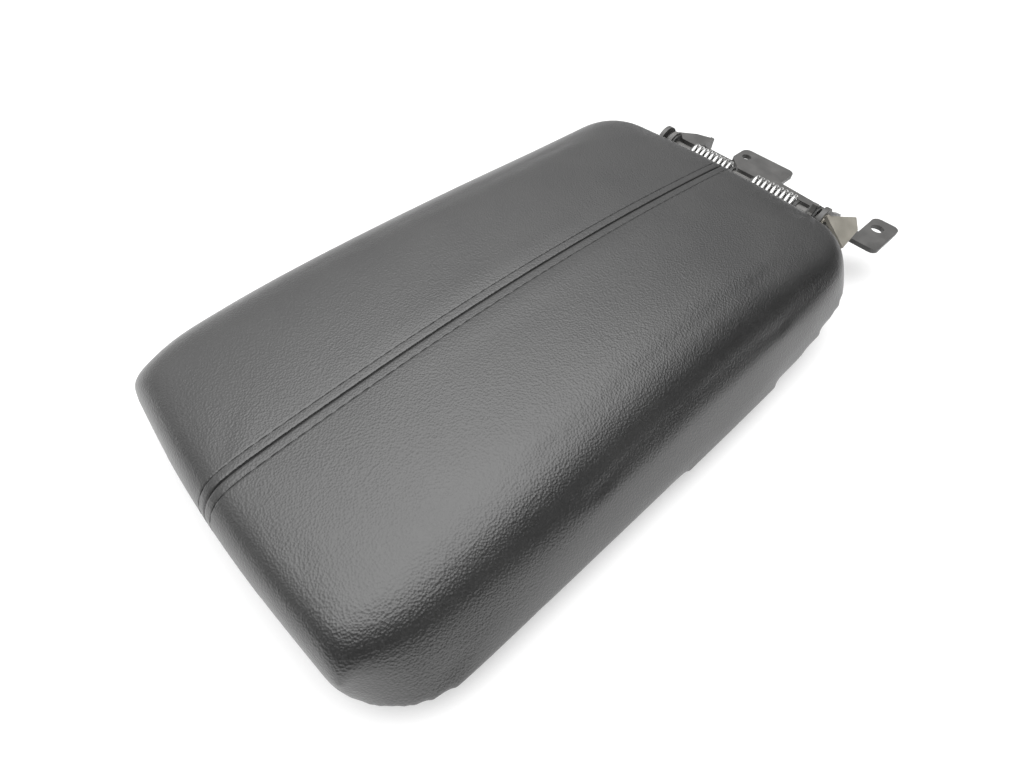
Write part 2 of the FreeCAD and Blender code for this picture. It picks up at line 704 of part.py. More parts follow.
for side in ("left", "right"):
    x = "dim.arm_" + side
    leaf_pieces.append(plate("arm_" + side, "x", x, "dim.leaf_wall", arm_outline))
    leaf_pieces.append(rod("knuckle_" + side, "dim.knuckle_radius", "dim.leaf_wall", (x, PIN_Y, PIN_Z), "x"))
    bush_in = "dim.pin_radius + dim.pin_fit"
    bush_out = bush_in + " + dim.bush_wall"
    leaf_bores.append(rod("knuckle_bore_" + side, bush_out + " + dim.bush_fit", "3 * dim.leaf_wall",
                          (x + " - dim.leaf_wall", PIN_Y, PIN_Z), "x"))
    bush_body = rod("bush_body_" + side, bush_out, "dim.leaf_wall + 2 * dim.bush_flange",
                    (x + " - dim.bush_flange", PIN_Y, PIN_Z), "x")
    lips = [rod("bush_lip_%s_%d" % (side, k), bush_out + " + dim.bush_lip", "dim.bush_flange - dim.bush_fit",
                (start, PIN_Y, PIN_Z), "x")
            for k, start in enumerate((x + " - dim.bush_flange", x + " + dim.leaf_wall + dim.bush_fit"))]
    bush_bore = rod("bush_bore_" + side, bush_in, "3 * dim.leaf_wall",
                    (x + " - dim.leaf_wall", PIN_Y, PIN_Z), "x")
    bushes[side] = cut("bush_shape_" + side, fuse("bush_solid_" + side, [bush_body] + lips), bush_bore)
for k, (x, along) in enumerate(leaf_screw_places):
    leaf_bores.append(seat_rod("leaf_hole_%d" % k, PILOT, "4 * dim.leaf_wall",
                               (x, along, "0 - 3 * dim.leaf_wall")))
hinge_leaf = cut("leaf_shape", fuse("leaf_solid", leaf_pieces), fuse("leaf_openings", leaf_bores))

# Hinge bracket: stamped steel that bolts to the console

EAR_LEFT = "(dim.arm_left - dim.ear_gap - dim.steel_wall)"
EAR_RIGHT = "(dim.arm_right + dim.leaf_wall + dim.ear_gap)"
EAR_RIGHT_OUT = "(dim.arm_right + dim.leaf_wall + dim.ear_gap + dim.steel_wall)"


def behind(x, back):
    """Point of a flat plate: across, and back from the hinge pin."""
    return (x, PIN_Y + " + " + back)


top_plate = plate("top_plate", "z", "dim.plate_top - dim.steel_wall", "dim.steel_wall", [
    behind("0", "dim.plate_front"),
    behind(EAR_RIGHT_OUT, "dim.plate_front"),
    behind(EAR_RIGHT_OUT, "dim.strip_end_rear"),
    behind("dim.mid_tab_right", "dim.strip_rear"),
    behind("dim.mid_tab_right", "dim.mid_tab_rear"),
    behind("dim.mid_tab_left", "dim.mid_tab_rear"),
    behind("dim.mid_tab_left", "dim.link_rear"),
], holes=[behind("dim.mid_hole_x", "dim.mid_hole_back") + ("dim.mid_hole_radius",)],
    rounds=[("dim.corner_round", (4, 5, 6))])
shelf = plate("shelf", "z", "dim.shelf_top - dim.steel_wall", "dim.steel_wall", [
    behind(EAR_LEFT, "dim.plate_front"),
    behind("dim.shelf_right", "dim.plate_front"),
    behind("dim.shelf_right", "dim.shelf_rear"),
    behind("(dim.shelf_right + %s) / 2" % EAR_LEFT, "dim.shelf_rear - dim.corner_round"),
    behind(EAR_LEFT, "dim.shelf_side_rear"),
])
lip = plate("lip", "x", "dim.shelf_right - dim.steel_wall", "dim.steel_wall", [
    (PIN_Y + " + dim.plate_front", "dim.shelf_top"),
    (PIN_Y + " + dim.plate_front", "dim.shelf_top - dim.shelf_lip"),
    (PIN_Y + " + dim.shelf_rear", "dim.shelf_top - dim.shelf_lip"),
    (PIN_Y + " + dim.shelf_rear", "dim.shelf_top"),
])
link = box("link", ("dim.shelf_right - dim.steel_wall", PIN_Y + " + dim.link_front",
                    "dim.plate_top - dim.link_drop - dim.steel_wall"),
           ("dim.mid_tab_right - dim.shelf_right", "dim.link_rear - dim.link_front", "dim.steel_wall"))
ear_left = plate("ear_left", "x", EAR_LEFT, "dim.steel_wall", [
    from_pin("0", "(0 - dim.ear_radius)"),
    from_pin("dim.shelf_side_rear", "(0 - dim.ear_radius)"),
    (PIN_Y + " + dim.shelf_side_rear", "dim.shelf_top"),
    from_pin("0", "dim.ear_radius"),
])
TAB_LOW = "dim.tab_top - dim.steel_wall"
ear_right = plate("ear_right", "x", EAR_RIGHT, "dim.steel_wall", [
    from_pin("0", "(0 - dim.ear_radius)"),
    (PIN_Y + " + dim.tab_front", TAB_LOW),
    (PIN_Y + " + dim.foot_rear", TAB_LOW),
    (PIN_Y + " + dim.foot_rear", "dim.tab_top + dim.corner_round"),
    (PIN_Y + " + dim.strip_end_rear", "dim.plate_top"),
    from_pin("0", "dim.ear_radius"),
])
right_tab = plate("right_tab", "z", TAB_LOW, "dim.steel_wall", [
    behind(EAR_RIGHT, "dim.tab_front"),
    behind("dim.tab_left", "dim.tab_side_front"),
    behind("dim.tab_right", "dim.tab_side_front"),
    behind("dim.tab_right", "dim.tab_rear"),
    behind("dim.tab_left", "dim.tab_rear"),
    behind("dim.tab_left", "dim.foot_rear"),
    behind(EAR_RIGHT, "dim.foot_rear"),
], holes=[behind("dim.tab_hole_x", "dim.tab_hole_back") + ("dim.tab_hole_radius",)],
    rounds=[("dim.corner_round", (2, 3, 4))])
ear_rounds = [rod("ear_round_" + side, "dim.ear_radius", "dim.steel_wall", (x, PIN_Y, PIN_Z), "x")
              for side, x in (("left", EAR_LEFT), ("right", EAR_RIGHT))]
ear_bore = rod("ear_bore", "dim.pin_radius + dim.pin_fit", "2 * dim.width_rear",
               ("0 - dim.width_rear", PIN_Y, PIN_Z), "x")
bracket_plates = [top_plate, shelf, lip, link, ear_left, ear_right, right_tab]
bracket_solid = fuse("bracket_solid", bracket_plates + ear_rounds)
hinge_bracket = cut("bracket_shape", bracket_solid, ear_bore)

# Gusset: bright-plated brace that leans outwards from the right ear, over the end of the pin

GUSSET_LOW = "0 - dim.gusset_depth"
hinge_gusset = plate("gusset_shape", "x", "0", "dim.gusset_wall", [
    (PIN_Y + " - dim.gusset_front", "0"),
    (PIN_Y + " + dim.gusset_rear", GUSSET_LOW + " + 2 * dim.gusset_step"),
    (PIN_Y + " + dim.gusset_rear - dim.gusset_step", GUSSET_LOW + " + dim.gusset_wall"),
    (PIN_Y + " - dim.gusset_front", GUSSET_LOW),
])
lean = Rotation(Vector(0, 1, 0), -size("dim.gusset_lean"))
gusset_x = size(EAR_RIGHT_OUT) + size("dim.gusset_gap")
hinge_gusset.Placement = Placement(Vector(gusset_x, 0, size("dim.gusset_top")), lean)

# Hinge pin, its clips, the springs and the sleeves they are wound on

hinge_pin = rod("hinge_pin_rod", "dim.pin_radius", "%s - %s + 2 * dim.pin_end" % (EAR_RIGHT_OUT, EAR_LEFT),
                (EAR_LEFT + " - dim.pin_end", PIN_Y, PIN_Z), "x")
clips = {}
CLIP_X = {"left": EAR_LEFT + " - dim.pin_fit - dim.clip_wall", "right": EAR_RIGHT_OUT + " + dim.pin_fit"}
for side, x in CLIP_X.items():
    ring = tube("clip_" + side, "dim.pin_radius + dim.pin_fit", "dim.clip_radius", "dim.clip_wall",
                (x, PIN_Y, PIN_Z))
    mouth = box("clip_mouth_" + side, (x, PIN_Y + " - dim.pin_radius / 2", PIN_Z + " - 2 * dim.clip_radius"),
                ("dim.clip_wall", "dim.pin_radius", "2 * dim.clip_radius"))
    clips[side] = cut("clip_shape_" + side, ring, mouth)

springs = {}
sleeves = {}
for side in ("left", "right"):
    start = "dim.coil_%s_start" % side
    sleeves[side] = tube("sleeve_" + side, "dim.pin_radius + dim.pin_fit",
                         "dim.pin_radius + dim.pin_fit + dim.sleeve_wall",
                         "dim.coil_length + 2 * dim.wire_radius",
                         (start + " - dim.wire_radius", PIN_Y, PIN_Z))
    helix = doc.addObject("Part::Helix", "helix_" + side)
    bind(helix, "Pitch", "dim.coil_pitch")
    bind(helix, "Height", "dim.coil_length")
    bind(helix, "Radius", "dim.coil_radius")
    helix.Placement = Placement(Vector(), Rotation(Vector(0, 1, 0), 90))
    place(helix, start, PIN_Y, PIN_Z)
    wire = doc.addObject("Part::Circle", "wire_" + side)
    bind(wire, "Radius", "dim.wire_radius")
    wire.Placement = Placement(Vector(), Rotation(Vector(1, 0, 0), 90))
    place(wire, start, PIN_Y, PIN_Z + " - dim.coil_radius")
    coil = doc.addObject("Part::Sweep", "coil_" + side)
    coil.Sections = [wire]
    coil.Spine = (helix, ["Edge1"])
    coil.Solid = True
    coil.Frenet = True
    springs[side] = coil

# Every piece is set down in the part's frame, standing on the rim and centred over its box

NODES = {
    "cover_left": cover_left,
    "cover_right": cover_right,
    "foam_pad": foam_pad,
    "lid_core": lid_core,
    "lid_liner": lid_liner,
    "liner_screws": group("liner_screw_set", liner_screws),
    "bumper_left": bumpers["left"],
    "bumper_right": bumpers["right"],
    "latch_lever": latch_lever,
    "latch_pin": latch_pin,
    "latch_spring": latch_spring,
    "hinge_leaf": hinge_leaf,
    "leaf_screws": group("leaf_screw_set", leaf_screws),
    "knuckle_bush_left": bushes["left"],
    "knuckle_bush_right": bushes["right"],
    "hinge_bracket": hinge_bracket,
    "hinge_gusset": hinge_gusset,
    "hinge_pin": hinge_pin,
    "pin_clip_left": clips["left"],
    "pin_clip_right": clips["right"],
    "spring_left": springs["left"],
    "spring_right": springs["right"],
    "spring_sleeve_left": sleeves["left"],
    "spring_sleeve_right": sleeves["right"],
}
nodes = []
for label, source in NODES.items():
    node = group("node_" + label, [source])
    node.Label = label
    place(node, "0", "0 - (dim.pad_length + dim.pin_back + dim.tab_rear) / 2", "dim.rim_depth")
    nodes.append(node)
doc.recompute()

for obj in doc.Objects:
    if "Invalid" in obj.State or "Error" in obj.State:
        raise RuntimeError("failed: %s %s" % (obj.Name, obj.State))
os.makedirs("parts", exist_ok=True)
for node in nodes:
    if node.Shape.isNull() or not node.Shape.isValid():
        raise RuntimeError("bad shape: " + node.Label)
for node in nodes:
    node.Shape.exportStep("parts/%s.step" % node.Label)
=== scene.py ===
import math

import bmesh
import bpy
from mathutils import Matrix, Vector
from mathutils.bvhtree import BVHTree


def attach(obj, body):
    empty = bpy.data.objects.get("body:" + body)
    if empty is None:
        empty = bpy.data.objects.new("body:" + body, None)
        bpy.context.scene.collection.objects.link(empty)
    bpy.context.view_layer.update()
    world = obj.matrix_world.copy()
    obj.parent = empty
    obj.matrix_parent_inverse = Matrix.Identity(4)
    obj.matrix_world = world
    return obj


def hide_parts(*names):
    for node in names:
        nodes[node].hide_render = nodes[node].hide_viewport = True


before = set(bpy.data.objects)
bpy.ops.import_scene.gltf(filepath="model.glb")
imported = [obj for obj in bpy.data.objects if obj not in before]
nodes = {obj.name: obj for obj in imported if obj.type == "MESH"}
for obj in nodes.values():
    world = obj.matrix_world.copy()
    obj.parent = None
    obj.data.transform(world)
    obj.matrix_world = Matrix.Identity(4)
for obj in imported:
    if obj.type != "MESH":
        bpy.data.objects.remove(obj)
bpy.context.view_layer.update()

bpy.ops.object.select_all(action="DESELECT")

# Lid core: the stiff shell under the padding, with ribs and screw bosses moulded in.
# Black polypropylene, injection moulded in one shot; the foam is glued over it.


def new_finish(name, colour, roughness, metallic=0.0):
    """Plain finish to start from."""
    material = bpy.data.materials.new(name)
    material.use_nodes = True
    shader = material.node_tree.nodes["Principled BSDF"]
    shader.inputs["Base Color"].default_value = (*colour, 1.0)
    shader.inputs["Roughness"].default_value = roughness
    shader.inputs["Metallic"].default_value = metallic
    return material


def shader_inputs(material):
    """The sockets of a finish's own shader."""
    return material.node_tree.nodes["Principled BSDF"].inputs


def clouds(material, scale, detail=4.0, stretch=(1.0, 1.0, 1.0)):
    """Soft uneven pattern, so many patches to the metre, drawn out where it is stretched."""
    tree = material.node_tree
    place = tree.nodes.new("ShaderNodeTexCoord")
    fit = tree.nodes.new("ShaderNodeMapping")
    fit.inputs["Scale"].default_value = stretch
    cloud = tree.nodes.new("ShaderNodeTexNoise")
    cloud.inputs["Scale"].default_value = scale
    cloud.inputs["Detail"].default_value = detail
    tree.links.new(place.outputs["Object"], fit.inputs["Vector"])
    tree.links.new(fit.outputs["Vector"], cloud.inputs["Vector"])
    return cloud.outputs["Fac"]


def tint(material, pattern, dark, light, low=0.35, high=0.65):
    """Runs the base colour from dark to light over a pattern."""
    tree = material.node_tree
    ramp = tree.nodes.new("ShaderNodeValToRGB")
    ramp.color_ramp.elements[0].position = low
    ramp.color_ramp.elements[0].color = (*dark, 1.0)
    ramp.color_ramp.elements[1].position = high
    ramp.color_ramp.elements[1].color = (*light, 1.0)
    tree.links.new(pattern, ramp.inputs["Fac"])
    tree.links.new(ramp.outputs["Color"], shader_inputs(material)["Base Color"])


def uneven_gloss(material, pattern, low, high):
    """Lets the roughness wander between two limits over a pattern."""
    tree = material.node_tree
    limits = tree.nodes.new("ShaderNodeMapRange")
    limits.inputs["From Min"].default_value = 0.3
    limits.inputs["From Max"].default_value = 0.7
    limits.inputs["To Min"].default_value = low
    limits.inputs["To Max"].default_value = high
    tree.links.new(pattern, limits.inputs["Value"])
    tree.links.new(limits.outputs["Result"], shader_inputs(material)["Roughness"])


def relief(material, pattern, depth, strength=1.0, under=None):
    """Raises and sinks the surface with a pattern, depth in metres, over an earlier relief."""
    tree = material.node_tree
    bump = tree.nodes.new("ShaderNodeBump")
    bump.inputs["Strength"].default_value = strength
    bump.inputs["Distance"].default_value = depth
    tree.links.new(pattern, bump.inputs["Height"])
    if under:
        tree.links.new(under, bump.inputs["Normal"])
    tree.links.new(bump.outputs["Normal"], shader_inputs(material)["Normal"])
    return bump.outputs["Normal"]


def dress(material, *names):
    """Gives CAD nodes a finish."""
    for name in names:
        for slot in nodes[name].material_slots:
            slot.material = material


core_plastic = new_finish("core_plastic", (0.02, 0.02, 0.02), 0.55)
tint(core_plastic, clouds(core_plastic, 90), (0.014, 0.014, 0.014), (0.028, 0.028, 0.027))
uneven_gloss(core_plastic, clouds(core_plastic, 40), 0.48, 0.62)
relief(core_plastic, clouds(core_plastic, 2500, 2.0), 0.00008, 0.5)
dress(core_plastic, "lid_core")

# Foam: an even layer of open-cell polyurethane between the core and the cover.
# It is moulded to the lid's shape and glued on before the leather is pulled over it.

foam = new_finish("pad_foam", (0.5, 0.46, 0.36), 0.95)
tint(foam, clouds(foam, 60), (0.42, 0.38, 0.28), (0.56, 0.52, 0.42))
foam_place = foam.node_tree.nodes.new("ShaderNodeTexCoord")
foam_cells = foam.node_tree.nodes.new("ShaderNodeTexVoronoi")
foam_cells.inputs["Scale"].default_value = 1400
foam.node_tree.links.new(foam_place.outputs["Object"], foam_cells.inputs["Vector"])
relief(foam, foam_cells.outputs["Distance"], 0.0004, 0.8)
dress(foam, "foam_pad")

# Cover: two panels of black pebble-grain leather, sewn together down the middle and pulled
# tight over the foam, with their edges turned in under the lid. The outside of the solids is
# copied, remeshed, blown up from inside against its held edges, and then cut at the seam.

PANEL_THICKNESS = 0.0012
FORM_GRID = 0.0025
FORM_SLACK = 0.0003
MOST_LIFT = 0.0025
MOST_SWELL = 0.0008
SWELL_FRAMES = 20
FOAM_ROOM = 0.001
MOST_PUSH = 0.0012
HALF_SEAM = 0.0014
STITCH_SIDE = 0.0041
SEAM_PROFILE = [
    (0.0, -0.90), (0.18, -0.76), (0.36, -0.14), (0.6, 0.05), (1.4, 0.10), (3.3, 0.05),
    (3.85, 0.0), (4.1, -0.24), (4.35, 0.0), (5.0, 0.02), (6.2, 0.0),
]

foam_form = bmesh.new()
foam_form.from_mesh(nodes["foam_pad"].data)
foam_tree = BVHTree.FromBMesh(foam_form)
foam_form.free()
outside = bmesh.new()
for name in ("cover_left", "cover_right"):
    outside.from_mesh(nodes[name].data)
bmesh.ops.remove_doubles(outside, verts=outside.verts, dist=1e-6)
outside.normal_update()
unseen = []
for face in outside.faces:
    centre = face.calc_center_median()
    away = centre - foam_tree.find_nearest(centre)[0]
    faces_in = face.normal.dot(away) < 0
    seam_side = all(abs(vertex.co.x) < 0.00032 for vertex in face.verts)
    hem_edge = abs(face.normal.z) < 0.5 and away.length > 0.004
    if faces_in or seam_side or hem_edge:
        unseen.append(face)
bmesh.ops.delete(outside, geom=unseen, context="FACES")

# Scraps that the sorting leaves inside the front corners go too
waiting = set(outside.verts)
scraps = []
while waiting:
    start = waiting.pop()
    island = [start]
    for vertex in island:
        for edge in vertex.link_edges:
            other = edge.other_vert(vertex)
            if other in waiting:
                waiting.remove(other)
                island.append(other)
    if len(island) < 500:
        scraps += island
bmesh.ops.delete(outside, geom=scraps, context="VERTS")
outside_tree = BVHTree.FromBMesh(outside)
form_mesh = bpy.data.meshes.new("cover_right_panel")
outside.to_mesh(form_mesh)
outside.free()
cover = bpy.data.objects.new("cover_right_panel", form_mesh)
bpy.context.scene.collection.objects.link(cover)
cover.select_set(True)
bpy.context.view_layer.objects.active = cover


def pick_edges(piece, wanted):
    """Selects the edges of a piece in edit mode by a test."""
    bpy.ops.mesh.select_all(action="DESELECT")
    shape = bmesh.from_edit_mesh(piece.data)
    for edge in shape.edges:
        edge.select = wanted(edge)
    bmesh.update_edit_mesh(piece.data)


def at_seam(edge):
    """Is this open edge one of the two that meet at the seam?"""
    return edge.is_boundary and all(abs(vertex.co.x) < 0.00035 for vertex in edge.verts)


# The seam is closed and the mouth below is filled, so that the form holds air
bpy.ops.object.mode_set(mode="EDIT")
bpy.ops.mesh.select_mode(type="EDGE")
pick_edges(cover, at_seam)
bpy.ops.mesh.bridge_edge_loops()
pick_edges(cover, lambda edge: edge.is_boundary)
bpy.ops.mesh.fill(use_beauty=True)
bpy.ops.mesh.select_all(action="SELECT")
bpy.ops.mesh.normals_make_consistent(inside=False)
bpy.ops.object.mode_set(mode="OBJECT")

remesh = cover.modifiers.new("even_mesh", "REMESH")
remesh.mode = "VOXEL"
remesh.voxel_size = FORM_GRID
bpy.ops.object.modifier_apply(modifier="even_mesh")


def relax(repeat):
    """Evens out the mesh of the whole cover, so that no step of the grid shows."""
    bpy.ops.object.mode_set(mode="EDIT")
    bpy.ops.mesh.select_all(action="SELECT")
    bpy.ops.mesh.vertices_smooth(factor=0.5, repeat=repeat)
    bpy.ops.object.mode_set(mode="OBJECT")


relax(8)

# What the evening took off is put back as a soft, averaged lift, in two rounds
points = cover.data.vertices
pairs = [tuple(edge.vertices) for edge in cover.data.edges]
for blur in (5, 2):
    outward = [vertex.normal.copy() for vertex in points]
    lifts = []
    for vertex, normal in zip(points, outward):
        gap = (outside_tree.find_nearest(vertex.co)[0] - vertex.co).dot(normal)
        lifts.append(gap if abs(gap) < MOST_LIFT else 0.0)
    for turn in range(blur):
        sums = [0.0] * len(points)
        counts = [0] * len(points)
        for first, second in pairs:
            sums[first] += lifts[second]
            sums[second] += lifts[first]
            counts[first] += 1
            counts[second] += 1
        lifts = [0.5 * own + 0.5 * total / count for own, total, count in zip(lifts, sums, counts)]
    for vertex, lift, normal in zip(points, lifts, outward):
        vertex.co += normal * lift
    cover.data.update()
outward = [vertex.normal.copy() for vertex in points]
for vertex, normal in zip(points, outward):
    if normal.z > 0.1:
        vertex.co -= normal * FORM_SLACK

held = cover.vertex_groups.new(name="held")
sewn = [v.index for v in cover.data.vertices if v.normal.z < 0.1 or abs(v.co.x) < HALF_SEAM]
held.add(sewn, 1.0, "REPLACE")
before = [vertex.co.copy() for vertex in cover.data.vertices]
stuffing = cover.modifiers.new("stuffing", "CLOTH")
stuffing.settings.quality = 6
stuffing.settings.mass = 0.3
stuffing.settings.tension_stiffness = 30
stuffing.settings.compression_stiffness = 30
stuffing.settings.bending_stiffness = 4
stuffing.settings.use_pressure = True
stuffing.settings.uniform_pressure_force = 4
stuffing.settings.effector_weights.gravity = 0
stuffing.settings.vertex_group_mass = "held"
stuffing.point_cache.frame_start = 1
stuffing.point_cache.frame_end = SWELL_FRAMES
for step in range(1, SWELL_FRAMES + 1):
    bpy.context.scene.frame_set(step)
bpy.ops.object.modifier_apply(modifier="stuffing")
bpy.context.scene.frame_set(1)
for vertex, start in zip(cover.data.vertices, before):
    swell = vertex.co - start
    if swell.length > MOST_SWELL:
        vertex.co = start + swell * (MOST_SWELL / swell.length)
cover.vertex_groups.clear()
relax(3)

# Nowhere does it come nearer to the foam than most of its own thickness
for vertex in cover.data.vertices:
    spot, facing = foam_tree.find_nearest(vertex.co)[:2]
    room = (vertex.co - spot).dot(facing)
    if vertex.normal.z > -0.6 and facing.dot(vertex.normal) > 0.8 and room < FOAM_ROOM:
        vertex.co += vertex.normal * min(FOAM_ROOM - room, MOST_PUSH)

finer = cover.modifiers.new("finer", "SUBSURF")
finer.levels = 1
finer.render_levels = 1
bpy.ops.object.modifier_apply(modifier="finer")


def seam_depth(across):
    """How far the leather stands proud or sinks at a distance from the seam, in metres."""
    across = abs(across) * 1000
    for (x, z), (next_x, next_z) in zip(SEAM_PROFILE, SEAM_PROFILE[1:]):
        if across <= next_x:
            return (z + (next_z - z) * (across - x) / (next_x - x)) / 1000
    return 0.0


# The mouth is opened again, and the seam's valley and its two stitched channels are cut in
bpy.ops.object.mode_set(mode="EDIT")
bpy.ops.mesh.select_mode(type="FACE")
bpy.ops.mesh.select_all(action="DESELECT")
shape = bmesh.from_edit_mesh(cover.data)
for face in shape.faces:
    centre = face.calc_center_median()
    face.select = face.normal.z < -0.3 and outside_tree.find_nearest(centre)[3] > 0.002
bmesh.update_edit_mesh(cover.data)
bpy.ops.mesh.delete(type="FACE")
for line in [across for across, depth in SEAM_PROFILE]:
    for side in (-1, 1):
        if line == 0.0 and side == 1:
            continue
        bpy.ops.mesh.select_all(action="DESELECT")
        shape = bmesh.from_edit_mesh(cover.data)
        for face in shape.faces:
            face.select = any(abs(vertex.co.x) < 0.009 for vertex in face.verts)
        bmesh.update_edit_mesh(cover.data)
        bpy.ops.mesh.bisect(plane_co=(side * line / 1000, 0, 0), plane_no=(1, 0, 0))
bpy.ops.object.mode_set(mode="OBJECT")
cuts = [vertex for vertex in cover.data.vertices if abs(vertex.co.x) < 0.0062]
lifts = [vertex.normal * seam_depth(vertex.co.x) for vertex in cuts]
for vertex, lift in zip(cuts, lifts):
    vertex.co += lift

# Points along each stitched channel, kept for the thread, in order from the front to the hinge
stitch_lines = []
for side in (-1, 1):
    line = [v.co.copy() for v in cover.data.vertices if abs(v.co.x - side * STITCH_SIDE) < 0.00003]
    line = [point for point in line if point.z > 0.0135]
    line.sort(key=lambda point: -math.atan2(point.z + 0.048, point.y + 0.031))
    stitch_lines.append(line)

bpy.ops.object.mode_set(mode="EDIT")
bpy.ops.mesh.select_all(action="DESELECT")
shape = bmesh.from_edit_mesh(cover.data)
for face in shape.faces:
    face.select = face.calc_center_median().x < 0
bmesh.update_edit_mesh(cover.data)
bpy.ops.mesh.separate(type="SELECTED")
bpy.ops.object.mode_set(mode="OBJECT")
cover_left = [piece for piece in bpy.context.selected_objects if piece != cover][0]
cover_left.name = "cover_left_panel"

leather = new_finish("pebble_leather", (0.02, 0.02, 0.02), 0.42)
shader_inputs(leather)["Specular IOR Level"].default_value = 1.0
shader_inputs(leather)["Coat Weight"].default_value = 0.4
shader_inputs(leather)["Coat Roughness"].default_value = 0.45
tint(leather, clouds(leather, 35), (0.009, 0.009, 0.009), (0.015, 0.015, 0.0145))
uneven_gloss(leather, clouds(leather, 18, 3.0), 0.34, 0.42)
leather_tree = leather.node_tree
grain_place = leather_tree.nodes.new("ShaderNodeTexCoord")
grain = leather_tree.nodes.new("ShaderNodeTexVoronoi")
grain.feature = "SMOOTH_F1"
grain.inputs["Scale"].default_value = 1200
grain.inputs["Smoothness"].default_value = 0.35
leather_tree.links.new(grain_place.outputs["Object"], grain.inputs["Vector"])
soft_waves = relief(leather, clouds(leather, 120, 2.0), 0.0003, 0.2)
relief(leather, grain.outputs["Distance"], 0.00022, 0.65, soft_waves)

for piece, node in ((cover_left, "cover_left"), (cover, "cover_right")):
    bpy.ops.object.select_all(action="DESELECT")
    piece.select_set(True)
    bpy.context.view_layer.objects.active = piece
    wall = piece.modifiers.new("hide", "SOLIDIFY")
    wall.thickness = PANEL_THICKNESS
    wall.offset = -1
    bpy.ops.object.modifier_apply(modifier="hide")
    bpy.ops.object.shade_smooth_by_angle(angle=math.radians(50))
    piece.data.materials.clear()
    piece.data.materials.append(leather)
    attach(piece, "lid")
    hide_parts(node)

# Seam thread: bonded black polyester, one row of lock stitches each side of the seam.
# One stitch is modelled and copied along the two channels, each end dipping into its hole.

STITCH_PITCH = 0.00525
STITCH_LENGTH = 0.0044
THREAD_RADIUS = 0.00028

bpy.ops.object.select_all(action="DESELECT")
bpy.ops.mesh.primitive_uv_sphere_add(segments=8, ring_count=8, radius=THREAD_RADIUS)
stitch = bpy.context.object
bpy.ops.object.mode_set(mode="EDIT")
shape = bmesh.from_edit_mesh(stitch.data)
for vertex in shape.verts:
    along = vertex.co.z / THREAD_RADIUS
    vertex.co.z = along * STITCH_LENGTH / 2
    vertex.co.x -= 0.00030 * along ** 4
bmesh.update_edit_mesh(stitch.data)
bpy.ops.object.mode_set(mode="OBJECT")

sewing = bmesh.new()
for line in stitch_lines:
    run = 0.0
    goal = 0.004
    for point, following in zip(line, line[1:]):
        step = (following - point).length
        while step > 0 and goal <= run + step:
            spot = point.lerp(following, (goal - run) / step)
            along = (following - point).normalized()
            out = Vector((1, 0, 0)).cross(along).normalized()
            if out.z < 0 and abs(along.z) < 0.9:
                out = -out
            turn = Matrix((out, along.cross(out), along)).transposed().to_4x4()
            turn.translation = spot + out * THREAD_RADIUS * 0.25
            known = len(sewing.verts)
            sewing.from_mesh(stitch.data)
            sewing.verts.ensure_lookup_table()
            bmesh.ops.transform(sewing, matrix=turn, verts=sewing.verts[known:])
            goal += STITCH_PITCH
        run += step
thread_mesh = bpy.data.meshes.new("seam_thread")
sewing.to_mesh(thread_mesh)
sewing.free()
bpy.data.objects.remove(stitch)
thread = bpy.data.objects.new("seam_thread", thread_mesh)
bpy.context.scene.collection.objects.link(thread)
thread.select_set(True)
bpy.context.view_layer.objects.active = thread
bpy.ops.object.shade_smooth()

twine = new_finish("black_thread", (0.012, 0.012, 0.012), 0.55)
tint(twine, clouds(twine, 400), (0.008, 0.008, 0.008), (0.02, 0.02, 0.02))
relief(twine, clouds(twine, 3500, 2.0, (1.0, 0.3, 1.0)), 0.0002, 0.6)
thread.data.materials.append(twine)
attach(thread, "lid")

# Liner: the inner panel that closes the lid, with a locating rim and two wings round the hinge.
# Injection moulded ABS with a fine spark-eroded grain; six screws hold it to the core.

liner_plastic = new_finish("liner_plastic", (0.03, 0.03, 0.03), 0.5)
tint(liner_plastic, clouds(liner_plastic, 25), (0.024, 0.024, 0.024), (0.036, 0.036, 0.035))
uneven_gloss(liner_plastic, clouds(liner_plastic, 30), 0.44, 0.58)
relief(liner_plastic, clouds(liner_plastic, 1800, 3.0), 0.00012, 0.5)
dress(liner_plastic, "lid_liner")

# Liner screws and leaf screws: pan-head screws of zinc-plated steel.
# They cut their own thread in the core's bosses.

zinc = new_finish("zinc_screws", (0.5, 0.49, 0.46), 0.35, 1.0)
tint(zinc, clouds(zinc, 300), (0.42, 0.41, 0.37), (0.58, 0.57, 0.54))
uneven_gloss(zinc, clouds(zinc, 500), 0.28, 0.45)
relief(zinc, clouds(zinc, 2500, 2.0), 0.00005, 0.4)
dress(zinc, "liner_screws", "leaf_screws")

# Bumpers: two rubber buttons pushed into holes in the liner, on which the lid comes to rest.

rubber = new_finish("bumper_rubber", (0.015, 0.015, 0.015), 0.75)
tint(rubber, clouds(rubber, 200), (0.011, 0.011, 0.011), (0.022, 0.022, 0.021))
relief(rubber, clouds(rubber, 2200, 3.0), 0.00012, 0.5)
dress(rubber, "bumper_left", "bumper_right")

# Latch: a moulded finger paddle with a hook, turning on a steel pin between two lugs.
# A small wound spring on the pin brings it back.

paddle_plastic = new_finish("latch_plastic", (0.022, 0.022, 0.022), 0.42)
tint(paddle_plastic, clouds(paddle_plastic, 150), (0.018, 0.018, 0.018), (0.03, 0.03, 0.03))
uneven_gloss(paddle_plastic, clouds(paddle_plastic, 90), 0.34, 0.52)
relief(paddle_plastic, clouds(paddle_plastic, 2000, 3.0), 0.0001, 0.4)
dress(paddle_plastic, "latch_lever")

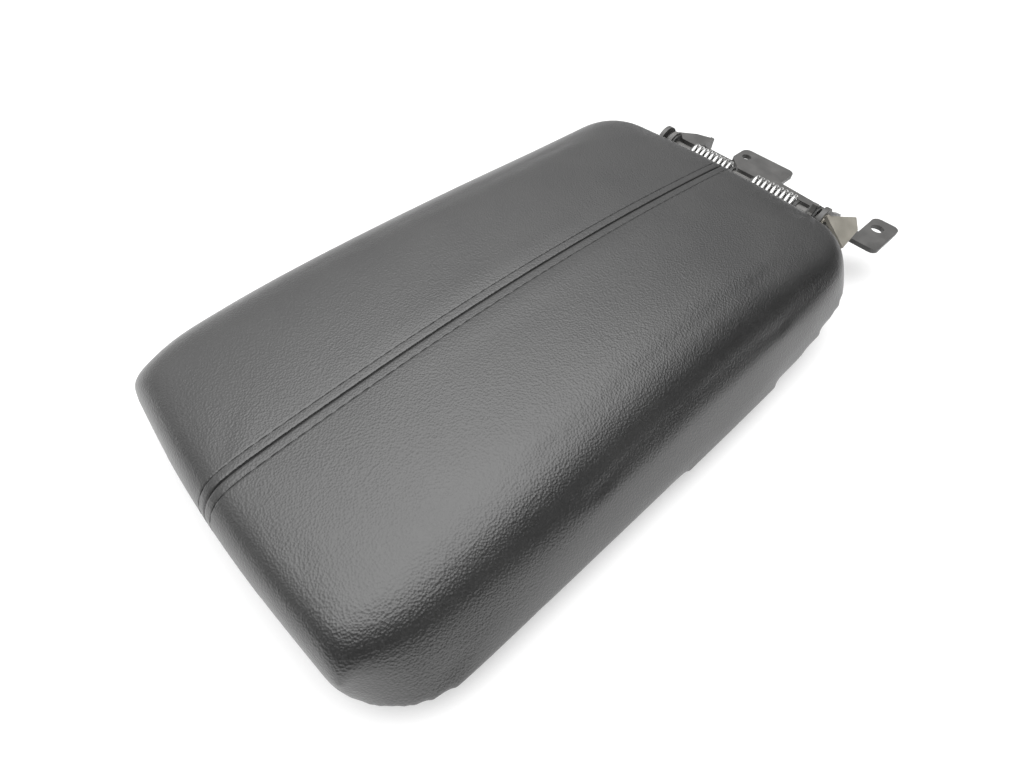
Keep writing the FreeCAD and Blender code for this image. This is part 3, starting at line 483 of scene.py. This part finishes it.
steel = new_finish("bright_steel", (0.62, 0.62, 0.6), 0.28, 1.0)
tint(steel, clouds(steel, 250), (0.5, 0.5, 0.48), (0.7, 0.7, 0.68))
uneven_gloss(steel, clouds(steel, 700), 0.2, 0.36)
relief(steel, clouds(steel, 900, 2.0, (0.1, 1.0, 1.0)), 0.00004, 0.4)
dress(steel, "latch_pin")

# Springs: two torsion springs of bright spring wire wound round the hinge pin, and the latch's own.

spring_wire = new_finish("spring_wire", (0.78, 0.78, 0.77), 0.3, 1.0)
tint(spring_wire, clouds(spring_wire, 300), (0.66, 0.66, 0.65), (0.86, 0.86, 0.85))
uneven_gloss(spring_wire, clouds(spring_wire, 900), 0.22, 0.38)
relief(spring_wire, clouds(spring_wire, 2000, 2.0), 0.00003, 0.4)
dress(spring_wire, "spring_left", "spring_right", "latch_spring")

# Hinge leaf: a pressed steel plate screwed under the lid's tail, with two arms for the pin.
# Leaf and pin are dip-coated dark grey, worn a little lighter where they were handled.

leaf_steel = new_finish("coated_leaf", (0.06, 0.06, 0.058), 0.45)
shader_inputs(leaf_steel)["Specular IOR Level"].default_value = 0.7
tint(leaf_steel, clouds(leaf_steel, 120), (0.09, 0.088, 0.084), (0.15, 0.147, 0.14))
uneven_gloss(leaf_steel, clouds(leaf_steel, 200), 0.36, 0.54)
relief(leaf_steel, clouds(leaf_steel, 1200, 3.0), 0.00008, 0.5)
dress(leaf_steel, "hinge_leaf", "hinge_pin")

# Bushes and sleeves: plain bearings of acetal pressed into the knuckles and under the springs.

bush_plastic = new_finish("bush_plastic", (0.05, 0.05, 0.05), 0.4)
tint(bush_plastic, clouds(bush_plastic, 300), (0.04, 0.04, 0.04), (0.065, 0.065, 0.063))
uneven_gloss(bush_plastic, clouds(bush_plastic, 300), 0.34, 0.5)
relief(bush_plastic, clouds(bush_plastic, 2500, 2.0), 0.00005, 0.4)
dress(bush_plastic, "knuckle_bush_left", "knuckle_bush_right")
dress(bush_plastic, "spring_sleeve_left", "spring_sleeve_right")

# Bracket: a steel stamping with two ears for the pin and tabs that bolt to the console.
# Black dip coat, satin, with a slightly uneven film.

coated = new_finish("coated_bracket", (0.05, 0.05, 0.05), 0.42)
shader_inputs(coated)["Specular IOR Level"].default_value = 0.8
tint(coated, clouds(coated, 110), (0.055, 0.054, 0.052), (0.09, 0.088, 0.085))
uneven_gloss(coated, clouds(coated, 160), 0.34, 0.5)
relief(coated, clouds(coated, 1000, 3.0), 0.0001, 0.5)
dress(coated, "hinge_bracket")

# Gusset: a bright zinc-plated brace that leans out from the right ear, and the pin's two clips.

plated = new_finish("zinc_plate", (0.42, 0.4, 0.35), 0.5, 0.55)
tint(plated, clouds(plated, 90), (0.38, 0.36, 0.31), (0.48, 0.455, 0.4))
uneven_gloss(plated, clouds(plated, 150), 0.42, 0.6)
relief(plated, clouds(plated, 900, 3.0), 0.0001, 0.4)
dress(plated, "hinge_gusset", "pin_clip_left", "pin_clip_right")

# Studio: a pale seamless floor, soft light from above that falls away to the horizon,
# and a camera where the photograph was taken.

bpy.ops.object.select_all(action="DESELECT")
bpy.ops.mesh.primitive_plane_add(size=6)
floor = bpy.context.object
floor.name = "studio_floor"
paper = new_finish("pale_floor", (0.72, 0.72, 0.72), 0.8)
rays = paper.node_tree.nodes.new("ShaderNodeLightPath")
seen = paper.node_tree.nodes.new("ShaderNodeMath")
seen.operation = "MAXIMUM"
paper.node_tree.links.new(rays.outputs["Is Camera Ray"], seen.inputs[0])
paper.node_tree.links.new(rays.outputs["Is Glossy Ray"], seen.inputs[1])
through = paper.node_tree.nodes.new("ShaderNodeMath")
through.operation = "MAXIMUM"
paper.node_tree.links.new(seen.outputs[0], through.inputs[0])
paper.node_tree.links.new(rays.outputs["Is Transmission Ray"], through.inputs[1])
glow = paper.node_tree.nodes.new("ShaderNodeMath")
glow.operation = "MULTIPLY"
glow.inputs[1].default_value = 0.3
paper.node_tree.links.new(through.outputs[0], glow.inputs[0])
shader_inputs(paper)["Emission Color"].default_value = (1, 1, 1, 1)
paper.node_tree.links.new(glow.outputs[0], shader_inputs(paper)["Emission Strength"])
floor.data.materials.append(paper)

world = bpy.data.worlds.new("studio_light")
bpy.context.scene.world = world
world.use_nodes = True
sky = world.node_tree
sky_place = sky.nodes.new("ShaderNodeTexCoord")
sky_parts = sky.nodes.new("ShaderNodeSeparateXYZ")
sky.links.new(sky_place.outputs["Generated"], sky_parts.inputs["Vector"])
window_side = sky.nodes.new("ShaderNodeVectorMath")
window_side.operation = "DOT_PRODUCT"
window_side.inputs[1].default_value = (-0.45, 0.0, 0.9)
sky.links.new(sky_place.outputs["Generated"], window_side.inputs[0])


def light_band(pattern, low, high, dark, bright):
    """Light that grows smoothly from dark to bright over a stretch of the sky."""
    band = sky.nodes.new("ShaderNodeMapRange")
    band.interpolation_type = "SMOOTHSTEP"
    band.inputs["From Min"].default_value = low
    band.inputs["From Max"].default_value = high
    band.inputs["To Min"].default_value = dark
    band.inputs["To Max"].default_value = bright
    sky.links.new(pattern, band.inputs["Value"])
    return band.outputs["Result"]


sky_light = sky.nodes.new("ShaderNodeMath")
sky_light.operation = "ADD"
sky.links.new(light_band(window_side.outputs["Value"], 0.18, 0.8, 0.02, 0.9), sky_light.inputs[0])
sky.links.new(light_band(sky_parts.outputs["Z"], 0.66, 0.9, 0.0, 2.15), sky_light.inputs[1])
background = sky.nodes["Background"]
background.inputs["Color"].default_value = (1, 1, 1, 1)
sky.links.new(sky_light.outputs[0], background.inputs["Strength"])
backdrop = sky.nodes.new("ShaderNodeBackground")
backdrop.inputs["Color"].default_value = (0.97, 0.97, 0.97, 1)
sky_rays = sky.nodes.new("ShaderNodeLightPath")
sky_mix = sky.nodes.new("ShaderNodeMixShader")
sky.links.new(sky_rays.outputs["Is Camera Ray"], sky_mix.inputs[0])
sky.links.new(background.outputs[0], sky_mix.inputs[1])
sky.links.new(backdrop.outputs[0], sky_mix.inputs[2])
sky.links.new(sky_mix.outputs[0], sky.nodes["World Output"].inputs["Surface"])
bpy.context.scene.view_settings.view_transform = "Standard"

bpy.ops.object.camera_add(
    location=(0.12595, -0.16883, 0.21631),
    rotation=(math.radians(37.9006), math.radians(-2.7926), math.radians(46.9952)),
)
camera = bpy.context.object
camera.data.sensor_width = 36
camera.data.lens = 20.3875
camera.data.clip_start = 0.01
bpy.context.scene.camera = camera

bpy.context.view_layer.update()
